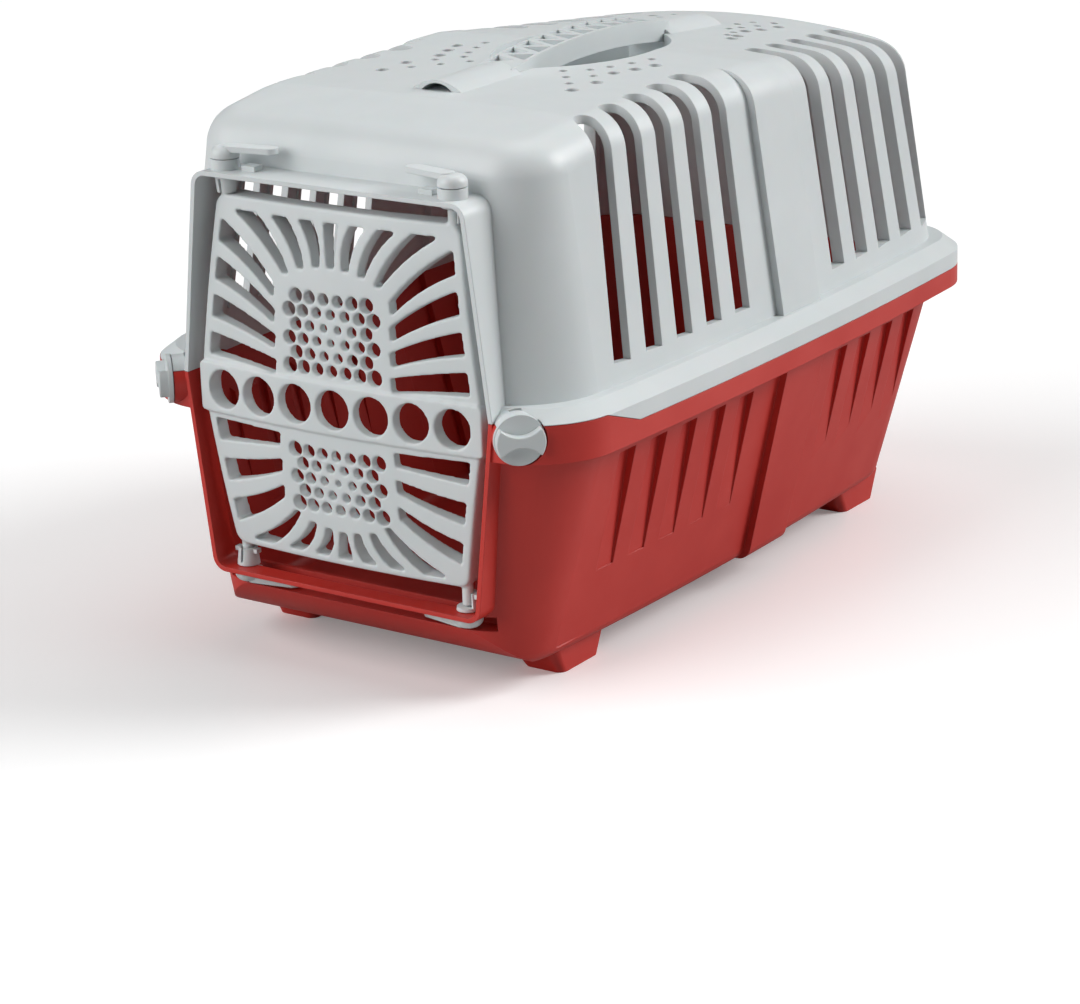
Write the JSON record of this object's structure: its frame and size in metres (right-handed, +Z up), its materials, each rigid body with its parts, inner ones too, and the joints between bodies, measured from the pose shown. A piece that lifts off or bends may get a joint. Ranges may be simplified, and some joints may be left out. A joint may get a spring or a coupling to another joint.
{
  "type": "cat carrier",
  "caption": "Hard plastic cat carrier with a red tub, a pale grey slotted top with a roof handle, and a pierced front door held by turning levers.",
  "frame": {"origin": "middle of the carrier's footprint, on the floor under its feet", "axes": "+Z up, +Y from the door to the rear, +X to the right as the door is seen from in front"},
  "size_m": [0.3108, 0.4904, 0.324],
  "materials": {
    "red_plastic": "satin moulded polypropylene",
    "grey_plastic": "satin moulded polypropylene"
  },
  "bodies": {
    "base": {"base_tub": "red_plastic"},
    "top": {"top_shell": "grey_plastic"},
    "door": {"door": "grey_plastic"},
    "upper_left_catch": {"upper_left_lever": "grey_plastic", "upper_left_socket": "grey_plastic"},
    "upper_right_catch": {"upper_right_lever": "grey_plastic", "upper_right_socket": "grey_plastic"},
    "lower_left_catch": {"lower_left_lever": "grey_plastic", "lower_left_socket": "grey_plastic"},
    "lower_right_catch": {"lower_right_lever": "grey_plastic", "lower_right_socket": "grey_plastic"},
    "left_knob_body": {"left_knob": "grey_plastic"},
    "right_knob_body": {"right_knob": "grey_plastic"}
  },
  "joints": [
    {"name": "door_hinge", "type": "hinge", "parent": "base", "child": "door", "pos_m": [-0.0767, -0.2228, 0.165], "axis": [0, 0, -1], "range_deg": [0, 90]},
    {"name": "top_lift", "type": "slide", "parent": "base", "child": "top", "axis": [0, 0, 1], "range_m": [0, 0.25]},
    {"name": "upper_left_lever_turn", "type": "hinge", "parent": "top", "child": "upper_left_catch", "pos_m": [-0.0767, -0.2228, 0.285], "axis": [0, 0, -1], "range_deg": [0, 90]},
    {"name": "upper_right_lever_turn", "type": "hinge", "parent": "top", "child": "upper_right_catch", "pos_m": [0.0767, -0.2228, 0.285], "axis": [0, 0, 1], "range_deg": [0, 90]},
    {"name": "lower_left_lever_turn", "type": "hinge", "parent": "base", "child": "lower_left_catch", "pos_m": [-0.0767, -0.2228, 0.047], "axis": [0, 0, -1], "range_deg": [0, 90]},
    {"name": "lower_right_lever_turn", "type": "hinge", "parent": "base", "child": "lower_right_catch", "pos_m": [0.0767, -0.2228, 0.047], "axis": [0, 0, 1], "range_deg": [0, 90]},
    {"name": "left_knob_turn", "type": "hinge", "parent": "base", "child": "left_knob_body", "pos_m": [-0.1192, -0.2304, 0.157], "axis": [-0.7071, -0.7071, 0], "range_deg": [0, 90]},
    {"name": "right_knob_turn", "type": "hinge", "parent": "base", "child": "right_knob_body", "pos_m": [0.1192, -0.2304, 0.157], "axis": [0.7071, -0.7071, 0], "range_deg": [0, 90]}
  ]
}
